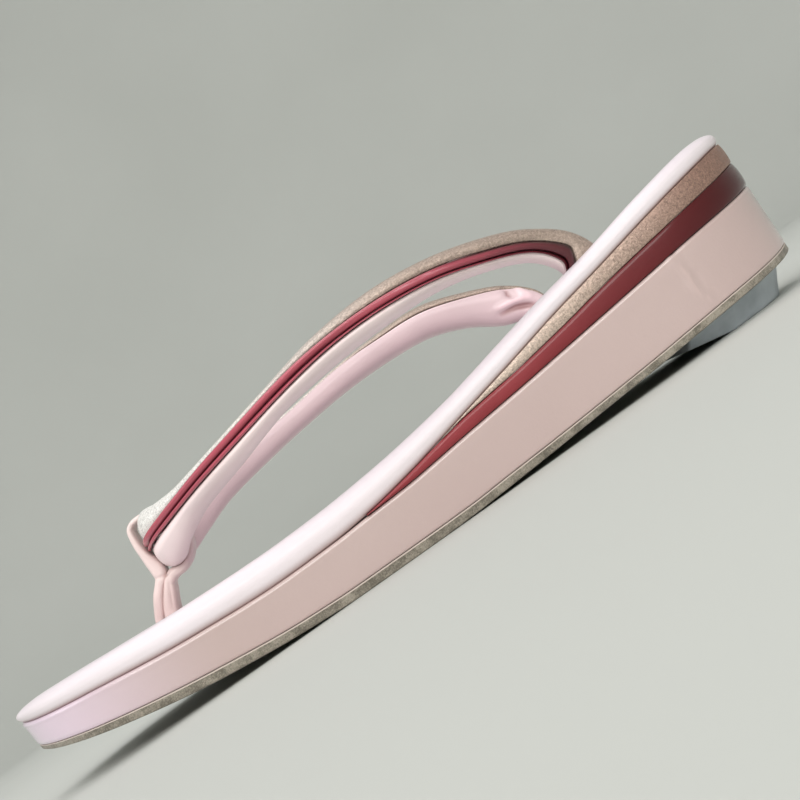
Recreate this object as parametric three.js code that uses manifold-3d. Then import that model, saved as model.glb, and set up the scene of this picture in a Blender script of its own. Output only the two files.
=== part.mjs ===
// Zori sandal with a wedge sole and padded straps, standing on its sole.
// Millimetres. +X points to the toe, +Y to the left-hand side, +Z up.
// The origin is on the floor, under the middle of the length.
import * as THREE from 'three';
import { mergeVertices } from 'three/addons/utils/BufferGeometryUtils.js';
import Module from 'manifold-3d';

const wasm = await Module();
wasm.setup();

// Driving dimensions
const length = 241;
const toeRound = 46; // length of the rounded end of the plan at the toe
const heelRound = 38;
const roundness = 2.2; // 2 gives elliptical ends, more gives squarer ones
const gap = 0.3; // air between neighbouring pieces
const redFrom = 107; // the feather edges of the two wedges, from the toe
const goldFrom = 139;
const padCrown = 0.2; // rise of the footbed between its rolled edges
const crownFade = 25; // half width at which the crown has its full rise
const rubberFrom = 197;
const rubberFlatFrom = 209; // the heel rubber is chamfered in front of this
const rubberChamfer = 0.18;
const rubberInset = 6.5;
const rubberBevel = 4; // how far the bottom of the rubber draws in
const holeClearance = 0.75;

// Half widths of the plan
const plan = [
  { fromToe: 0, half: 38 },
  { fromToe: 37, half: 39.5 },
  { fromToe: 87, half: 40 },
  { fromToe: 147, half: 37 },
  { fromToe: 197, half: 34.5 },
  { fromToe: 241, half: 33 },
];

// Heights above the floor at the edge of the sole: underside of the outsole, then the tops
// of the outsole, the enamel body, the red wedge, the metallic wedge and the padded footbed
const profile = [
  { fromToe: 0, base: 13.4, sole: 15.4, body: 22.4, red: 22.4, gold: 22.4, pad: 25.4 },
  { fromToe: 12, base: 10.8, sole: 12.8, body: 20.1, red: 20.1, gold: 20.1, pad: 24.7 },
  { fromToe: 32, base: 7.1, sole: 9.2, body: 17.7, red: 17.7, gold: 17.7, pad: 23.6 },
  { fromToe: 57, base: 2.9, sole: 5.5, body: 15, red: 15, gold: 15, pad: 22.1 },
  { fromToe: 82, base: 0.6, sole: 3, body: 13.7, red: 13.7, gold: 13.7, pad: 21.5 },
  { fromToe: 97, base: 0, sole: 2.5, body: 14, red: 14.1, gold: 14.1, pad: 21.9 },
  { fromToe: 107, base: 0, sole: 2.5, body: 14.6, red: 15, gold: 15, pad: 22.6 },
  { fromToe: 119, base: 0, sole: 2.5, body: 15.2, red: 16.9, gold: 16.9, pad: 23.8 },
  { fromToe: 129, base: 0.3, sole: 2.6, body: 16.2, red: 18.9, gold: 19, pad: 25.2 },
  { fromToe: 139, base: 0.8, sole: 3.1, body: 17.3, red: 20.7, gold: 21.3, pad: 26.9 },
  { fromToe: 157, base: 1.9, sole: 4, body: 19.1, red: 22.9, gold: 25.3, pad: 30.9 },
  { fromToe: 172, base: 2.9, sole: 4.9, body: 20.8, red: 25.2, gold: 28.8, pad: 34.2 },
  { fromToe: 187, base: 3.9, sole: 5.9, body: 22.5, red: 27.9, gold: 31.9, pad: 37 },
  { fromToe: 207, base: 5.5, sole: 7.6, body: 24.9, red: 30.9, gold: 36.2, pad: 41.6 },
  { fromToe: 229, base: 7.3, sole: 9.4, body: 27.3, red: 34.2, gold: 40.4, pad: 45.6 },
  { fromToe: 241, base: 9.3, sole: 11.4, body: 29.4, red: 36.6, gold: 42.6, pad: 46.6 },
];

// Centre line of each strap from the bight inside the toe loop to its tail in the sole, the
// section's height and width, and the angles between which the red cord lies on its outer
// side (0 faces outwards, 90 upwards)
const leftStrap = [
  { fromToe: 56.8, out: 0, up: 40.2, tall: 15, wide: 9, low: -2, high: 10 },
  { fromToe: 58, out: 6, up: 41.3, tall: 16.2, wide: 8.9, low: -3, high: 12 },
  { fromToe: 62.8, out: 11.5, up: 42.2, tall: 12.9, wide: 8.5, low: -2, high: 20 },
  { fromToe: 73, out: 17.5, up: 44.4, tall: 8.8, wide: 10.6, low: -4, high: 33 },
  { fromToe: 87, out: 23.8, up: 47.2, tall: 7.9, wide: 12, low: -6, high: 41 },
  { fromToe: 103, out: 27.8, up: 50.9, tall: 7, wide: 11.6, low: -11, high: 39 },
  { fromToe: 120, out: 30, up: 53.8, tall: 8.4, wide: 12.7, low: -10, high: 23 },
  { fromToe: 137, out: 31, up: 55, tall: 8.9, wide: 13.1, low: -16, high: 12 },
  { fromToe: 153, out: 30.6, up: 54.2, tall: 8, wide: 11.8, low: -29, high: 6 },
  { fromToe: 167.1, out: 29.4, up: 51.1, tall: 7.6, wide: 10.6, low: -41, high: 0 },
  { fromToe: 177.7, out: 27.8, up: 46.9, tall: 7.6, wide: 8.9, low: -40, high: 1 },
  { fromToe: 184.6, out: 26.5, up: 41, tall: 9.2, wide: 8.3, low: -50, high: 4 },
  { fromToe: 187, out: 25.8, up: 35.4, tall: 10.2, wide: 8.5, low: -98, high: -46 },
  { fromToe: 186.9, out: 25.5, up: 29.4, tall: 9.6, wide: 8.2, low: -106, high: -60 },
];
const rightStrap = [
  { fromToe: 58.2, out: 6, up: 41, tall: 15.2, wide: 8.4, low: -3, high: 12 },
  { fromToe: 62.9, out: 11.5, up: 42.5, tall: 13.2, wide: 9.8, low: -2, high: 20 },
  { fromToe: 73, out: 17.5, up: 45.2, tall: 9.9, wide: 11.9, low: -4, high: 33 },
  { fromToe: 87, out: 23.8, up: 47.5, tall: 7.7, wide: 11.8, low: -6, high: 41 },
  { fromToe: 103, out: 27.8, up: 49.7, tall: 6.6, wide: 11.2, low: -11, high: 39 },
  { fromToe: 120, out: 30.2, up: 52, tall: 7.3, wide: 11.9, low: -10, high: 23 },
  { fromToe: 137, out: 31, up: 52.8, tall: 8.4, wide: 13.1, low: -16, high: 12 },
  { fromToe: 151, out: 30.6, up: 52, tall: 9.6, wide: 13.3, low: -28, high: 6 },
  { fromToe: 162.6, out: 29.3, up: 48, tall: 10.2, wide: 12.1, low: -39, high: 1 },
  { fromToe: 172, out: 27.7, up: 42.9, tall: 11.6, wide: 11.6, low: -40, high: 1 },
  { fromToe: 179.4, out: 26.3, up: 38.3, tall: 9, wide: 7.9, low: -50, high: 4 },
  { fromToe: 181.6, out: 25.7, up: 34.4, tall: 8, wide: 7.2, low: -94, high: -42 },
  { fromToe: 182.4, out: 25.5, up: 29.4, tall: 8.2, wide: 7.2, low: -103, high: -57 },
];
// The red cord is raised between two grooves
const strapRoundness = 2.5;
const cordRise = 0.7;
const cordGroove = 0.35;
const strapSteps = 3; // sections between two rows

// The folded band of the toe loop, in the middle plane: its front leg goes up in front of
// the straps and over them, its back leg goes under them and up between them
const loopFront = [
  { fromToe: 42.6, up: 14, thick: 2.9, wide: 7.5 },
  { fromToe: 43.1, up: 19.5, thick: 3, wide: 8 },
  { fromToe: 44.1, up: 23.2, thick: 3, wide: 8.3 },
  { fromToe: 45.7, up: 26.1, thick: 3.2, wide: 8.4 },
  { fromToe: 47.2, up: 28.7, thick: 3.1, wide: 8.2 },
  { fromToe: 48.9, up: 30.8, thick: 2.9, wide: 7.4 },
  { fromToe: 50.3, up: 32.5, thick: 3.6, wide: 7 },
  { fromToe: 50.8, up: 34.6, thick: 4.2, wide: 7.2 },
  { fromToe: 50.5, up: 37.2, thick: 3.7, wide: 7.6 },
  { fromToe: 50.2, up: 39.9, thick: 2.9, wide: 8 },
  { fromToe: 50, up: 42.6, thick: 2.4, wide: 8.2 },
  { fromToe: 50.1, up: 45.3, thick: 2, wide: 8.2 },
  { fromToe: 50.6, up: 47.6, thick: 1.7, wide: 8 },
  { fromToe: 52.2, up: 48.8, thick: 1.6, wide: 7.6 },
  { fromToe: 56.5, up: 48.9, thick: 1.6, wide: 7 },
  { fromToe: 60.4, up: 47.4, thick: 1.6, wide: 6.2 },
  { fromToe: 62.6, up: 44.2, thick: 1.7, wide: 6 },
];
const loopBack = [
  { fromToe: 47, up: 14, thick: 4.6, wide: 7.5 },
  { fromToe: 47.3, up: 19.5, thick: 5, wide: 8 },
  { fromToe: 48.1, up: 23.1, thick: 5, wide: 8.4 },
  { fromToe: 49.4, up: 26, thick: 4.3, wide: 8.2 },
  { fromToe: 50.6, up: 28.6, thick: 3.5, wide: 7.8 },
  { fromToe: 51.6, up: 30.2, thick: 3, wide: 7.4 },
  { fromToe: 53.6, up: 31.1, thick: 2.6, wide: 7.2 },
  { fromToe: 56.2, up: 31.2, thick: 2.3, wide: 7 },
  { fromToe: 58.6, up: 31.8, thick: 2, wide: 6.8 },
  { fromToe: 61.2, up: 33.2, thick: 1.8, wide: 6.2 },
  { fromToe: 62.9, up: 36, thick: 1.8, wide: 6 },
  { fromToe: 63, up: 40, thick: 1.8, wide: 6 },
  { fromToe: 62.8, up: 45, thick: 1.8, wide: 6 },
];
const loopRoundness = 3.2;

// A column of a table at any place, as a smooth curve that never overshoots its rows
function columnAt(rows, column, place) {
  const key = 'fromToe';
  const last = rows.length - 1;
  let i = 0;
  while (i < last - 1 && place > rows[i + 1][key]) i += 1;
  const slope = (k) => (rows[k + 1][column] - rows[k][column]) / (rows[k + 1][key] - rows[k][key]);
  const tangent = (k) => {
    if (k === 0) return slope(0);
    if (k === last) return slope(last - 1);
    const before = slope(k - 1);
    const after = slope(k);
    return before * after <= 0 ? 0 : (2 * before * after) / (before + after);
  };
  const span = rows[i + 1][key] - rows[i][key];
  const s = THREE.MathUtils.clamp((place - rows[i][key]) / span, 0, 1);
  const rise = rows[i + 1][column] - rows[i][column];
  const startPull = tangent(i) * span;
  const endPull = tangent(i + 1) * span;
  return rows[i][column] + s * startPull
    + s * s * (3 * rise - 2 * startPull - endPull)
    + s * s * s * (startPull + endPull - 2 * rise);
}

const heightAt = (column, fromToe) => columnAt(profile, column, fromToe);

function halfWidthAt(fromToe) {
  const endFactor = (fromEnd, round) => {
    const s = THREE.MathUtils.clamp(1 - fromEnd / round, 0, 1);
    return (1 - s ** roundness) ** (1 / roundness);
  };
  const ends = endFactor(fromToe, toeRound) * endFactor(length - fromToe, heelRound);
  return columnAt(plan, 'half', fromToe) * ends;
}

// Places along the length, closer together where the plan turns round the toe and heel
function stations(from) {
  const endSteps = 9;
  const midSteps = 13;
  const list = [];
  for (let i = 0; i < endSteps; i += 1) {
    list.push(toeRound * (1 - Math.cos((i / endSteps) * Math.PI / 2)));
  }
  for (let i = 0; i < midSteps; i += 1) {
    list.push(THREE.MathUtils.lerp(toeRound, length - heelRound, i / midSteps));
  }
  for (let i = 0; i <= endSteps; i += 1) {
    list.push(length - heelRound * (1 - Math.sin((i / endSteps) * Math.PI / 2)));
  }
  return from > 0 ? [from, ...list.filter((t) => t > from + 2)] : list;
}

// A point of the left-hand outline, moved inwards along the plan's normal
function outlinePoint(fromToe, inset) {
  const step = 0.02;
  const a = Math.max(fromToe - step, 0);
  const b = Math.min(fromToe + step, length);
  const along = new THREE.Vector2(b - a, halfWidthAt(b) - halfWidthAt(a)).normalize();
  const atTip = fromToe === 0 || fromToe === length;
  const inward = atTip
    ? new THREE.Vector2(fromToe === 0 ? 1 : -1, 0)
    : new THREE.Vector2(along.y, -along.x);
  return {
    fromToe: fromToe + inward.x * inset,
    side: atTip ? 0 : Math.max(halfWidthAt(fromToe) + inward.y * inset, 0),
  };
}

function solidFromTriangles(corners) {
  const raw = new THREE.BufferGeometry();
  raw.setAttribute('position', new THREE.Float32BufferAttribute(corners, 3));
  const merged = mergeVertices(raw, 1e-4);
  const index = merged.getIndex().array;
  const kept = [];
  for (let i = 0; i < index.length; i += 3) {
    const [a, b, c] = [index[i], index[i + 1], index[i + 2]];
    if (a !== b && b !== c && c !== a) kept.push(a, b, c);
  }
  return new wasm.Manifold(new wasm.Mesh({
    numProp: 3,
    vertProperties: new Float32Array(merged.getAttribute('position').array),
    triVerts: new Uint32Array(kept),
  }));
}

// A grid of points as two triangles a cell, seen from its outer side
function addGrid(corners, rows) {
  for (let i = 0; i + 1 < rows.length; i += 1) {
    for (let j = 0; j + 1 < rows[i].length; j += 1) {
      const [a, b, c, d] = [rows[i][j], rows[i][j + 1], rows[i + 1][j + 1], rows[i + 1][j]];
      corners.push(...a, ...b, ...c, ...a, ...c, ...d);
    }
  }
}

// One layer of the sole. Each ring is the outline drawn in by its inset, at its own part of
// the way from the under surface to the upper one. The two faces span between the rings.
function layer({ from = 0, under, over, rings, columns = 4, crown = 0 }) {
  const places = stations(from);
  const ringPoint = (ring, t, side) => {
    const p = outlinePoint(t, ring.inset);
    const z = THREE.MathUtils.lerp(under(p.fromToe), over(p.fromToe), ring.part);
    return { x: length / 2 - p.fromToe, y: side * p.side, z };
  };
  const across = (ring, t, bulge) => {
    const edge = ringPoint(ring, t, 1);
    const rise = bulge * THREE.MathUtils.smoothstep(edge.y, 0, crownFade);
    const row = [];
    for (let j = 0; j <= columns; j += 1) {
      const s = 1 - (2 * j) / columns;
      row.push([edge.x, edge.y * s, edge.z + rise * (1 - s * s)]);
    }
    return row;
  };
  const corners = [];
  for (const side of [1, -1]) {
    const wall = rings.map((ring) => places.map((t) => {
      const p = ringPoint(ring, t, side);
      return [p.x, p.y, p.z];
    }));
    addGrid(corners, side > 0 ? wall : wall.map((row) => [...row].reverse()));
  }
  const bottomRing = rings[0];
  const topRing = rings[rings.length - 1];
  addGrid(corners, places.map((t) => across(topRing, t, crown)).reverse());
  addGrid(corners, places.map((t) => across(bottomRing, t, 0)));
  if (from > 0) addGrid(corners, rings.map((ring) => across(ring, from, 0)).reverse());
  return solidFromTriangles(corners);
}

// A closed loft through loops of points
function loft(loops) {
  const corners = [];
  addGrid(corners, loops.map((loop) => [...loop, loop[0]]));
  const cap = (loop, flip) => {
    const middle = [0, 1, 2].map((k) => loop.reduce((sum, p) => sum + p[k], 0) / loop.length);
    loop.forEach((p, i) => {
      const q = loop[(i + 1) % loop.length];
      corners.push(...middle, ...(flip ? q : p), ...(flip ? p : q));
    });
  };
  cap(loops[0], true);
  cap(loops[loops.length - 1], false);
  return solidFromTriangles(corners);
}

const roundedPower = (value, power) => Math.sign(value) * Math.abs(value) ** (2 / power);

// Section of a strap: x outwards, y upwards, with the cord raised between two angles
function strapSection({ tall, wide, low, high }, spare) {
  const cordFrom = THREE.MathUtils.degToRad(low);
  const cordTo = THREE.MathUtils.degToRad(high);
  const middle = (cordFrom + cordTo) / 2;
  const quarter = (cordTo - cordFrom) / 4;
  const edge = quarter / 2;
  const cord = [cordFrom, middle - quarter, middle, middle + quarter, cordTo];
  const angles = [cordFrom - edge, ...cord, cordTo + edge];
  const plainSteps = 10;
  const plainFrom = cordTo + 3 * edge;
  const plainTo = cordFrom - 3 * edge + 2 * Math.PI;
  for (let i = 0; i <= plainSteps; i += 1) {
    angles.push(THREE.MathUtils.lerp(plainFrom, plainTo, i / plainSteps));
  }
  return angles.map((angle) => {
    const x = (wide / 2) * roundedPower(Math.cos(angle), strapRoundness);
    const y = (tall / 2) * roundedPower(Math.sin(angle), strapRoundness);
    const offMiddle = Math.abs(angle - middle);
    let rise = 0;
    if (offMiddle < 1.5 * quarter) rise = cordRise * (offMiddle < quarter / 2 ? 1 : 0.8);
    else if (offMiddle < 2.2 * quarter) rise = -cordGroove;
    const out = Math.hypot(x, y);
    const grown = (out + rise + spare) / out;
    return { x: x * grown, y: y * grown };
  });
}

// Both straps as one sweep: up from the right-hand tail, round the bight, down to the left
function strapSweep(spare) {
  const rows = [
    ...[...rightStrap].reverse().map((row) => ({ ...row, out: -row.out })),
    ...leftStrap,
  ];
  const line = new THREE.CatmullRomCurve3(
    rows.map((row) => new THREE.Vector3(length / 2 - row.fromToe, row.out, row.up)),
  );
  const loops = [];
  const steps = (rows.length - 1) * strapSteps;
  for (let i = 0; i <= steps; i += 1) {
    const place = i / steps;
    const row = Math.min(Math.floor(i / strapSteps), rows.length - 2);
    const part = THREE.MathUtils.smoothstep(i / strapSteps - row, 0, 1);
    const sizes = {};
    for (const size of ['tall', 'wide', 'low', 'high']) {
      sizes[size] = THREE.MathUtils.lerp(rows[row][size], rows[row + 1][size], part);
    }
    const centre = line.getPoint(place);
    const along = line.getTangent(place);
    const outward = new THREE.Vector3(along.y, -along.x, 0);
    outward.y += 0.6 * THREE.MathUtils.clamp(centre.y / 12, -1, 1);
    outward.addScaledVector(along, -outward.dot(along)).normalize();
    const upward = new THREE.Vector3().crossVectors(outward, along);
    const end = i === 0 || i === steps ? Math.sign(i - 1) * spare : 0;
    loops.push(strapSection(sizes, spare).map((p) => centre.clone()
      .addScaledVector(outward, p.x)
      .addScaledVector(upward, p.y)
      .addScaledVector(along, end)
      .toArray()));
  }
  return loft(loops.reverse());
}

// One leg of the toe loop's band
function bandSweep(rows, spare) {
  const stepsPerRow = 2;
  const points = rows.map((row) => new THREE.Vector3(length / 2 - row.fromToe, 0, row.up));
  const line = new THREE.CatmullRomCurve3(points);
  const steps = (rows.length - 1) * stepsPerRow;
  const sectionPoints = 10;
  const loops = [];
  for (let i = 0; i <= steps; i += 1) {
    const place = i / steps;
    const row = Math.min(Math.floor(i / stepsPerRow), rows.length - 2);
    const part = i / stepsPerRow - row;
    const thick = THREE.MathUtils.lerp(rows[row].thick, rows[row + 1].thick, part) + 2 * spare;
    const wide = THREE.MathUtils.lerp(rows[row].wide, rows[row + 1].wide, part) + 2 * spare;
    const centre = line.getPoint(place);
    const along = line.getTangent(place);
    const across = new THREE.Vector3(0, 1, 0);
    const through = new THREE.Vector3().crossVectors(along, across);
    const end = i === 0 ? -spare : 0;
    const loop = [];
    for (let k = 0; k < sectionPoints; k += 1) {
      const angle = (k / sectionPoints) * 2 * Math.PI;
      loop.push(centre.clone()
        .addScaledVector(across, (wide / 2) * roundedPower(Math.sin(angle), loopRoundness))
        .addScaledVector(through, (thick / 2) * roundedPower(Math.cos(angle), loopRoundness))
        .addScaledVector(along, end)
        .toArray());
    }
    loops.push(loop);
  }
  return loft(loops.reverse());
}

const toeLoopSolid = (spare) => bandSweep(loopFront, spare).add(bandSweep(loopBack, spare));

// The pieces
const solids = {};

solids.outsole = layer({
  under: (t) => heightAt('base', t),
  over: (t) => heightAt('sole', t),
  rings: [
    { inset: 2.1, part: 0 },
    { inset: 1.6, part: 0.25 },
    { inset: 1.6, part: 1 },
  ],
  columns: 2,
});

solids.heel_rubber = layer({
  from: rubberFrom,
  under: (t) => Math.max(0, (rubberFlatFrom - t) * rubberChamfer),
  over: (t) => heightAt('base', t) - gap,
  rings: [
    { inset: rubberInset + rubberBevel, part: 0 },
    { inset: rubberInset + 0.4, part: 0.86 },
    { inset: rubberInset, part: 1 },
  ],
  columns: 2,
});

solids.enamel_body = layer({
  under: (t) => heightAt('sole', t) + gap,
  over: (t) => heightAt('body', t),
  rings: [
    { inset: 1.8, part: 0 },
    { inset: 1.4, part: 0.12 },
    { inset: 0.7, part: 0.82 },
    { inset: 1.1, part: 0.94 },
    { inset: 2.2, part: 1 },
  ],
});

const wedgeRings = [
  { inset: 1.2, part: 0 },
  { inset: 0.4, part: 0.16 },
  { inset: 0.4, part: 0.84 },
  { inset: 1.2, part: 1 },
];

solids.red_wedge = layer({
  from: redFrom,
  under: (t) => heightAt('body', t) + gap,
  over: (t) => heightAt('red', t),
  rings: wedgeRings,
});

solids.metallic_wedge = layer({
  from: goldFrom,
  under: (t) => heightAt('red', t) + gap,
  over: (t) => heightAt('gold', t),
  rings: wedgeRings,
});

solids.padded_footbed = layer({
  under: (t) => heightAt('gold', t) + gap,
  over: (t) => heightAt('pad', t),
  rings: [
    { inset: 2.4, part: 0 },
    { inset: 0.9, part: 0.15 },
    { inset: 0.3, part: 0.42 },
    { inset: 0.7, part: 0.68 },
    { inset: 2.0, part: 0.89 },
    { inset: 4.4, part: 1 },
  ],
  columns: 6,
  crown: padCrown,
});

// The straps, cut clear of the toe loop that holds their bight
solids.strap_upper = strapSweep(0).subtract(toeLoopSolid(gap));
solids.toe_loop = toeLoopSolid(0);

// The holes that the tails and the stem go down
const tails = strapSweep(holeClearance);
const stem = toeLoopSolid(holeClearance);
solids.padded_footbed = solids.padded_footbed.subtract(tails).subtract(stem);
solids.metallic_wedge = solids.metallic_wedge.subtract(tails);
solids.enamel_body = solids.enamel_body.subtract(stem);

// Finishes
const finishes = {
  outsole: { color: 0x9b978c, roughness: 0.9, metalness: 0 },
  heel_rubber: { color: 0x7e8790, roughness: 0.6, metalness: 0 },
  enamel_body: { color: 0xdcc3bf, roughness: 0.2, metalness: 0 },
  red_wedge: { color: 0x6e1e25, roughness: 0.25, metalness: 0 },
  metallic_wedge: { color: 0xb89c86, roughness: 0.45, metalness: 0.5 },
  padded_footbed: { color: 0xeedcde, roughness: 0.4, metalness: 0 },
  strap_upper: { color: 0xd9c3bd, roughness: 0.4, metalness: 0 },
  toe_loop: { color: 0xdcc3ba, roughness: 0.5, metalness: 0 },
};

const sandal = new THREE.Group();
for (const [name, solid] of Object.entries(solids)) {
  const { vertProperties, triVerts } = solid.getMesh();
  const geometry = new THREE.BufferGeometry();
  geometry.setAttribute('position', new THREE.BufferAttribute(new Float32Array(vertProperties), 3));
  geometry.setIndex(new THREE.BufferAttribute(new Uint32Array(triVerts), 1));
  geometry.computeVertexNormals();
  const mesh = new THREE.Mesh(geometry, new THREE.MeshStandardMaterial(finishes[name]));
  mesh.name = name;
  sandal.add(mesh);
}

export default sandal;
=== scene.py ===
import math

import bmesh
import bpy
import numpy as np
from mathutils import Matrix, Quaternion, Vector


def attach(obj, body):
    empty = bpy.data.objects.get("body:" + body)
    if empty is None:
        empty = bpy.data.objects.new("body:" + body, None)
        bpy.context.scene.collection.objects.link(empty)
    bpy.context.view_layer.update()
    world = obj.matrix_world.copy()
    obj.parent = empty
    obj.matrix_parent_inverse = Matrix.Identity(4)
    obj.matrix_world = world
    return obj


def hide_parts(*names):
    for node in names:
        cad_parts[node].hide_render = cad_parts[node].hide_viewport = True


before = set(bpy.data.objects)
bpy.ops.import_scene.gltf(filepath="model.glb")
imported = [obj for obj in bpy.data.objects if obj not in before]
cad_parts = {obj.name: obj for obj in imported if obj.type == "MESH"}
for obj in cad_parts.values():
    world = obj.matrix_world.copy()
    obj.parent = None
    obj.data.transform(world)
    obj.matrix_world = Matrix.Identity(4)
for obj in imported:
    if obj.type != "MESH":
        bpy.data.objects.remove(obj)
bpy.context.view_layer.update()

mm = 0.001
length = 241  # millimetres from toe to heel

# Tables in millimetres, with the places counted from the toe


def table(columns, rows):  # named columns of a short table
    return dict(zip(columns.split(), np.array(rows, float).T))


plan = table("fromToe half", [
    (0, 38), (37, 39.5), (87, 40), (147, 37), (197, 34.5), (241, 33),
])

# Heights at the edge of the sole: underside of the outsole, then the tops of the outsole,
# the enamel body, the red wedge, the metallic wedge and the padded cover
profile = table("fromToe base sole body red gold pad", [
    (0, 14.4, 15.4, 22.4, 22.4, 22.4, 24.7),
    (12, 11.3, 12.8, 20.1, 20.1, 20.1, 24.7),
    (32, 7.1, 9.2, 17.7, 17.7, 17.7, 23.6),
    (57, 2.9, 5.5, 15, 15, 15, 22.1),
    (82, 0.6, 3, 13.7, 13.7, 13.7, 21.5),
    (97, 0, 2.5, 14, 14.1, 14.1, 21.9),
    (107, 0, 2.5, 14.6, 15, 15, 22.6),
    (119, 0, 2.5, 15.2, 16.9, 16.9, 23.8),
    (129, 0.3, 2.6, 16.2, 18.9, 19, 25.2),
    (139, 0.8, 3.1, 17.3, 20.7, 21.3, 26.9),
    (157, 1.9, 4, 19.1, 22.9, 25.3, 30.9),
    (172, 2.9, 4.9, 20.8, 25.2, 28.8, 34.2),
    (187, 3.9, 5.9, 22.5, 27.9, 31.9, 37),
    (207, 5.5, 7.6, 24.9, 30.9, 36.2, 41.6),
    (229, 7.3, 9.4, 27.3, 34.2, 40.4, 45.6),
    (241, 9.3, 11.4, 29.4, 36.6, 42.6, 46.6),
])

# Centre lines of the straps from the bight in the toe loop to the tails in the sole, the
# size of their section, and its angles (0 outwards, 90 upwards) where the red cord begins
# and ends and where the metallic panel ends on the inner side
strapColumns = "fromToe out up tall wide low high inner"
leftStrap = table(strapColumns, [
    (56.8, 0, 40.2, 15, 9, -2, 10, 120),
    (58, 6, 41.15, 16.5, 8.9, -3, 12, 118),
    (62.8, 11.5, 42.2, 12.9, 8.5, -2, 20, 115),
    (73, 17.5, 44.4, 8.8, 10.6, -4, 33, 112),
    (87, 23.8, 47.2, 7.9, 12, -6, 41, 110),
    (103, 27.8, 50.9, 7, 11.6, -11, 39, 112),
    (120, 30, 53.8, 8.4, 12.7, -10, 23, 115),
    (137, 31, 55, 8.9, 13.1, -16, 12, 142),
    (153, 30.6, 54.2, 8, 11.8, -29, 6, 149),
    (167.1, 29.4, 51.1, 7.6, 10.6, -41, 0, 140),
    (177.7, 27.8, 46.9, 7.6, 8.9, -40, 1, 128),
    (184.6, 26.5, 41, 9.2, 8.3, -50, 4, 118),
    (187, 25.8, 35.4, 10.2, 8.5, -98, -46, 105),
    (186.9, 25.5, 29.4, 9.6, 8.2, -106, -60, 100),
])
rightStrap = table(strapColumns, [
    (58.2, 6, 41, 15.2, 8.4, -3, 12, 118),
    (62.9, 11.5, 42.5, 13.2, 9.8, -2, 20, 115),
    (73, 17.5, 45.2, 9.9, 11.9, -4, 33, 112),
    (87, 23.8, 47.5, 7.7, 11.8, -6, 41, 114),
    (103, 27.8, 49.7, 6.6, 11.2, -11, 39, 112),
    (120, 30.2, 52, 7.3, 11.9, -10, 23, 115),
    (137, 31, 52.8, 8.4, 13.1, -16, 12, 142),
    (151, 30.6, 52, 9.6, 13.3, -28, 6, 149),
    (162.6, 29.3, 48, 10.2, 12.1, -39, 1, 140),
    (172, 27.7, 42.9, 11.6, 11.6, -40, 1, 126),
    (179.4, 26.3, 38.3, 9, 7.9, -50, 4, 114),
    (181.6, 25.7, 34.4, 8, 7.2, -94, -42, 105),
    (182.4, 25.5, 29.4, 8.2, 7.2, -103, -57, 100),
])

# The band of the toe loop in the middle plane: up in front of the bight, over it,
# down behind it, under it and back into the sole
loopBand = table("fromToe up thick wide", [
    (42.6, 14, 2.9, 7.5),
    (43.1, 19.5, 3, 8),
    (44.1, 23.2, 3, 8.3),
    (45.7, 26.1, 3.2, 8.4),
    (47.2, 28.7, 3.1, 8.2),
    (48.9, 30.8, 2.9, 7.4),
    (50.3, 32.5, 3.6, 7),
    (50.8, 34.6, 4.2, 7.2),
    (50.5, 37.2, 3.7, 7.6),
    (50.2, 39.9, 2.9, 8),
    (50, 42.6, 2.4, 8.2),
    (50.1, 45.3, 2, 8.2),
    (50.6, 47.6, 1.7, 8),
    (52.2, 48.8, 1.6, 7.6),
    (56.5, 48.9, 1.6, 7),
    (60.4, 47.4, 1.6, 6.2),
    (62.6, 44.2, 1.7, 6),
    (63, 40, 1.8, 6),
    (62.1, 35.8, 1.8, 5.6),
    (60.6, 33.5, 1.8, 5.8),
    (58.6, 32, 2, 6.6),
    (56.2, 31.4, 2.6, 7),
    (53.6, 31.5, 3.2, 7.2),
    (51.6, 30.2, 3, 7.4),
    (50.6, 28.6, 3.5, 7.8),
    (49, 26, 4.1, 8.2),
    (47.6, 23.1, 4.5, 8.4),
    (46.7, 19.5, 4.4, 8),
    (46.5, 14, 4.2, 7.5),
])

sole = {
    "toeRound": 46,  # length of the rounded end of the plan at the toe
    "heelRound": 38,
    "roundness": 2.2,  # 2 gives elliptical ends, more gives squarer ones
    "gap": 0.12,  # between two layers, as a dark line
    "softGap": 0.02,  # under the cover, which rests on the layer below
    "redFrom": 107,  # feather edges of the two wedges
    "goldFrom": 132,
    "rubberFrom": 197,
    "rubberFlatFrom": 209,
    "rubberChamfer": 0.18,
    "endSteps": 44,  # points of the outline round each end, on one side
    "middleSteps": 180,
    "frontSteps": 24,  # points across the straight front edge of a wedge
    "capRings": 18,  # rings from the edge of a face to its middle line
    "toeCap": 30,  # where that line ends, from the toe and from the heel
    "heelCap": 26,
    "thinBelow": 3,  # a layer thinner than this has smaller rounds
}


def smoothAt(rows, column, places, key="fromToe"):  # monotone cubic through a table
    x, y = rows[key], rows[column]
    slope = np.diff(y) / np.diff(x)
    before, after = slope[:-1], slope[1:]
    total = np.where(before * after > 0, before + after, 1)
    inner = np.where(before * after > 0, 2 * before * after / total, 0)
    tangent = np.concatenate([slope[:1], inner, slope[-1:]])
    places = np.clip(places, x[0], x[-1])
    i = np.clip(np.searchsorted(x, places) - 1, 0, len(x) - 2)
    span = x[i + 1] - x[i]
    s = (places - x[i]) / span
    rise = y[i + 1] - y[i]
    startPull, endPull = tangent[i] * span, tangent[i + 1] * span
    bend = 3 * rise - 2 * startPull - endPull
    return y[i] + s * startPull + s**2 * bend + s**3 * (startPull + endPull - 2 * rise)


def heightAt(column):  # a height of the profile as a function of the place from the toe
    return lambda fromToe: smoothAt(profile, column, fromToe)


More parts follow.
